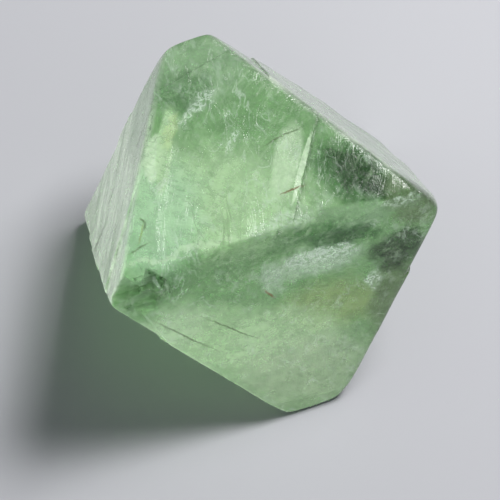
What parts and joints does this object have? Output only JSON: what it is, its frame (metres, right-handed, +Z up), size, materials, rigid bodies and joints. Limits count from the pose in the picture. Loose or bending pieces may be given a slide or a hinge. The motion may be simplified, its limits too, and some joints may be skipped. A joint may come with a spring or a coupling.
{
  "type": "fluorite octahedron",
  "caption": "Cleaved fluorite crystal of octahedral shape, pale green and half clear, with flat faces, worn ridges, thin cleavage steps and a shell-shaped chip, lying on one face.",
  "frame": {"origin": "middle of the footprint of the crystal's box, on the surface that it lies on", "axes": "+Z is up, out of the top cleavage face; +X is along the longest side of the box, towards the crystal's sharp right corner; the shell-shaped chip is on the front ridge, towards -Y"},
  "size_m": [0.0356, 0.0326, 0.0255],
  "materials": {
    "fluorite": "half-clear pale green fluorite, glassy to slightly frosted cleavage faces, with healed cracks inside"
  },
  "bodies": {
    "root": {"fluorite_octahedron": "fluorite"}
  },
  "joints": []
}
